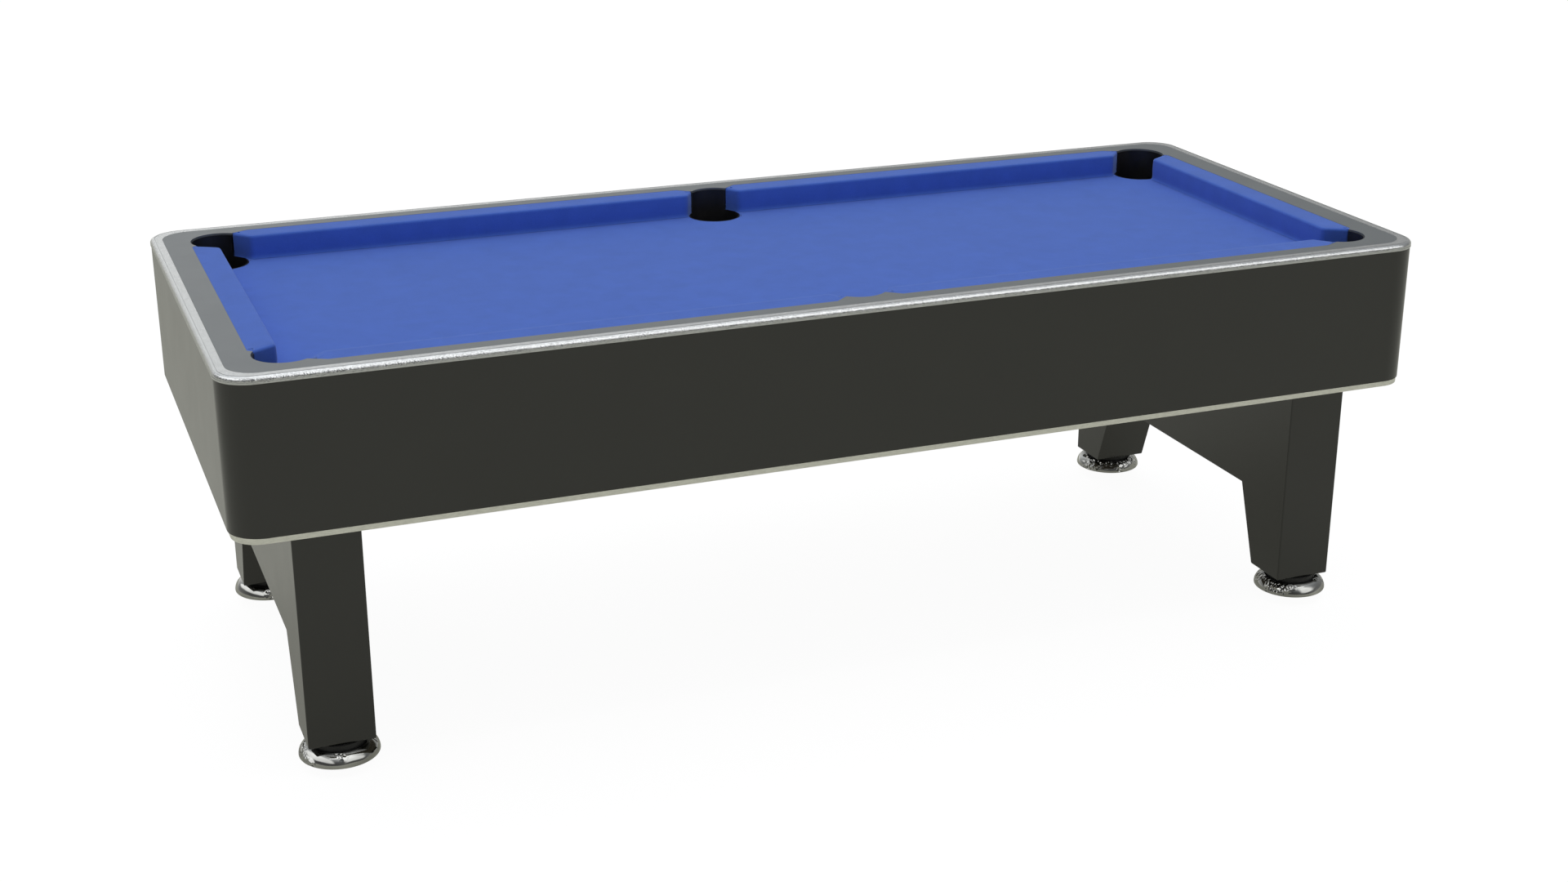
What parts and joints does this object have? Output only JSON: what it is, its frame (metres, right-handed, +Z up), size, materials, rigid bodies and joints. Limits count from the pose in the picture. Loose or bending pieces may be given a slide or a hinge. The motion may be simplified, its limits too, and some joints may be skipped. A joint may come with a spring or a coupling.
{
  "type": "pool table",
  "caption": "Six-pocket table with a slate bed under blue cloth, padded cushions, a deep black cabinet with rounded corners, two leg frames and screw-adjusted round feet.",
  "frame": {"origin": "on the floor under the middle of the table, at the centre of the bounding box's base", "axes": "+X along the table's length towards the ball window, +Y across the table, +Z up"},
  "size_m": [2.474, 1.061, 0.8],
  "materials": {
    "cloth": "short-nap woven blue billiard cloth",
    "rail_grey": "plain satin grey",
    "moulding": "satin, with a bright rounded edge",
    "cabinet_black": "satin black laminate on board",
    "bottom_trim": "satin",
    "leg_black": "satin black on board",
    "foot_chrome": "polished",
    "foot_black": "black",
    "liner": "moulded black",
    "runway": "moulded black",
    "slate": "honed",
    "frame_wood": "planed softwood",
    "core_wood": "sawn board",
    "board": "raw board",
    "zinc": "zinc plated"
  },
  "bodies": {
    "table": {"ball_runway_front": "runway", "ball_runway_rear": "runway", "ball_tray": "runway", "base_board": "board", "bed_cloth": "cloth", "bottom_moulding": "bottom_trim", "corner_panel_front_left": "cabinet_black", "corner_panel_front_right": "cabinet_black", "corner_panel_rear_left": "cabinet_black", "corner_panel_rear_right": "cabinet_black", "cross_beams": "frame_wood", "cushion_front_left": "cloth", "cushion_front_right": "cloth", "cushion_left_end": "cloth", "cushion_rear_left": "cloth", "cushion_rear_right": "cloth", "cushion_right_end": "cloth", "edge_moulding": "moulding", "foot_inserts": "zinc", "front_panel": "cabinet_black", "left_end_panel": "cabinet_black", "leg_apron_left": "leg_black", "leg_apron_right": "leg_black", "leg_bolts": "zinc", "leg_front_left": "leg_black", "leg_front_right": "leg_black", "leg_plates": "zinc", "leg_rear_left": "leg_black", "leg_rear_right": "leg_black", "pocket_liner_front_left": "liner", "pocket_liner_front_middle": "liner", "pocket_liner_front_right": "liner", "pocket_liner_rear_left": "liner", "pocket_liner_rear_middle": "liner", "pocket_liner_rear_right": "liner", "rail_bolts": "zinc", "rail_cap": "rail_grey", "rail_core_front_left": "core_wood", "rail_core_front_right": "core_wood", "rail_core_left_end": "core_wood", "rail_core_rear_left": "core_wood", "rail_core_rear_right": "core_wood", "rail_core_right_end": "core_wood", "rear_panel": "cabinet_black", "right_end_panel": "cabinet_black", "runway_brackets": "frame_wood", "side_beam_front": "frame_wood", "side_beam_rear": "frame_wood", "slate_left": "slate", "slate_middle": "slate", "slate_right": "slate", "slate_screws": "zinc"},
    "foot_front_left": {"foot_base_front_left": "foot_chrome"},
    "screw_front_left": {"foot_stud_front_left": "foot_black"},
    "foot_front_right": {"foot_base_front_right": "foot_chrome"},
    "screw_front_right": {"foot_stud_front_right": "foot_black"},
    "foot_rear_left": {"foot_base_rear_left": "foot_chrome"},
    "screw_rear_left": {"foot_stud_rear_left": "foot_black"},
    "foot_rear_right": {"foot_base_rear_right": "foot_chrome"},
    "screw_rear_right": {"foot_stud_rear_right": "foot_black"}
  },
  "joints": [
    {"name": "foot_height_front_left", "type": "slide", "parent": "table", "child": "foot_front_left", "axis": [0, 0, -1], "range_m": [0, 0.02]},
    {"name": "foot_screw_front_left", "type": "hinge", "parent": "foot_front_left", "child": "screw_front_left", "pos_m": [-1.06, -0.409, 0], "axis": [0, 0, 1], "range_deg": [0, 3600]},
    {"name": "foot_height_front_right", "type": "slide", "parent": "table", "child": "foot_front_right", "axis": [0, 0, -1], "range_m": [0, 0.02]},
    {"name": "foot_screw_front_right", "type": "hinge", "parent": "foot_front_right", "child": "screw_front_right", "pos_m": [1.06, -0.409, 0], "axis": [0, 0, 1], "range_deg": [0, 3600]},
    {"name": "foot_height_rear_left", "type": "slide", "parent": "table", "child": "foot_rear_left", "axis": [0, 0, -1], "range_m": [0, 0.02]},
    {"name": "foot_screw_rear_left", "type": "hinge", "parent": "foot_rear_left", "child": "screw_rear_left", "pos_m": [-1.06, 0.409, 0], "axis": [0, 0, 1], "range_deg": [0, 3600]},
    {"name": "foot_height_rear_right", "type": "slide", "parent": "table", "child": "foot_rear_right", "axis": [0, 0, -1], "range_m": [0, 0.02]},
    {"name": "foot_screw_rear_right", "type": "hinge", "parent": "foot_rear_right", "child": "screw_rear_right", "pos_m": [1.06, 0.409, 0], "axis": [0, 0, 1], "range_deg": [0, 3600]}
  ],
  "couplings": [
    {"joint": "foot_height_front_left", "follows": "foot_screw_front_left", "m_per_rad": 0.0003183},
    {"joint": "foot_height_front_right", "follows": "foot_screw_front_right", "m_per_rad": 0.0003183},
    {"joint": "foot_height_rear_left", "follows": "foot_screw_rear_left", "m_per_rad": 0.0003183},
    {"joint": "foot_height_rear_right", "follows": "foot_screw_rear_right", "m_per_rad": 0.0003183}
  ]
}
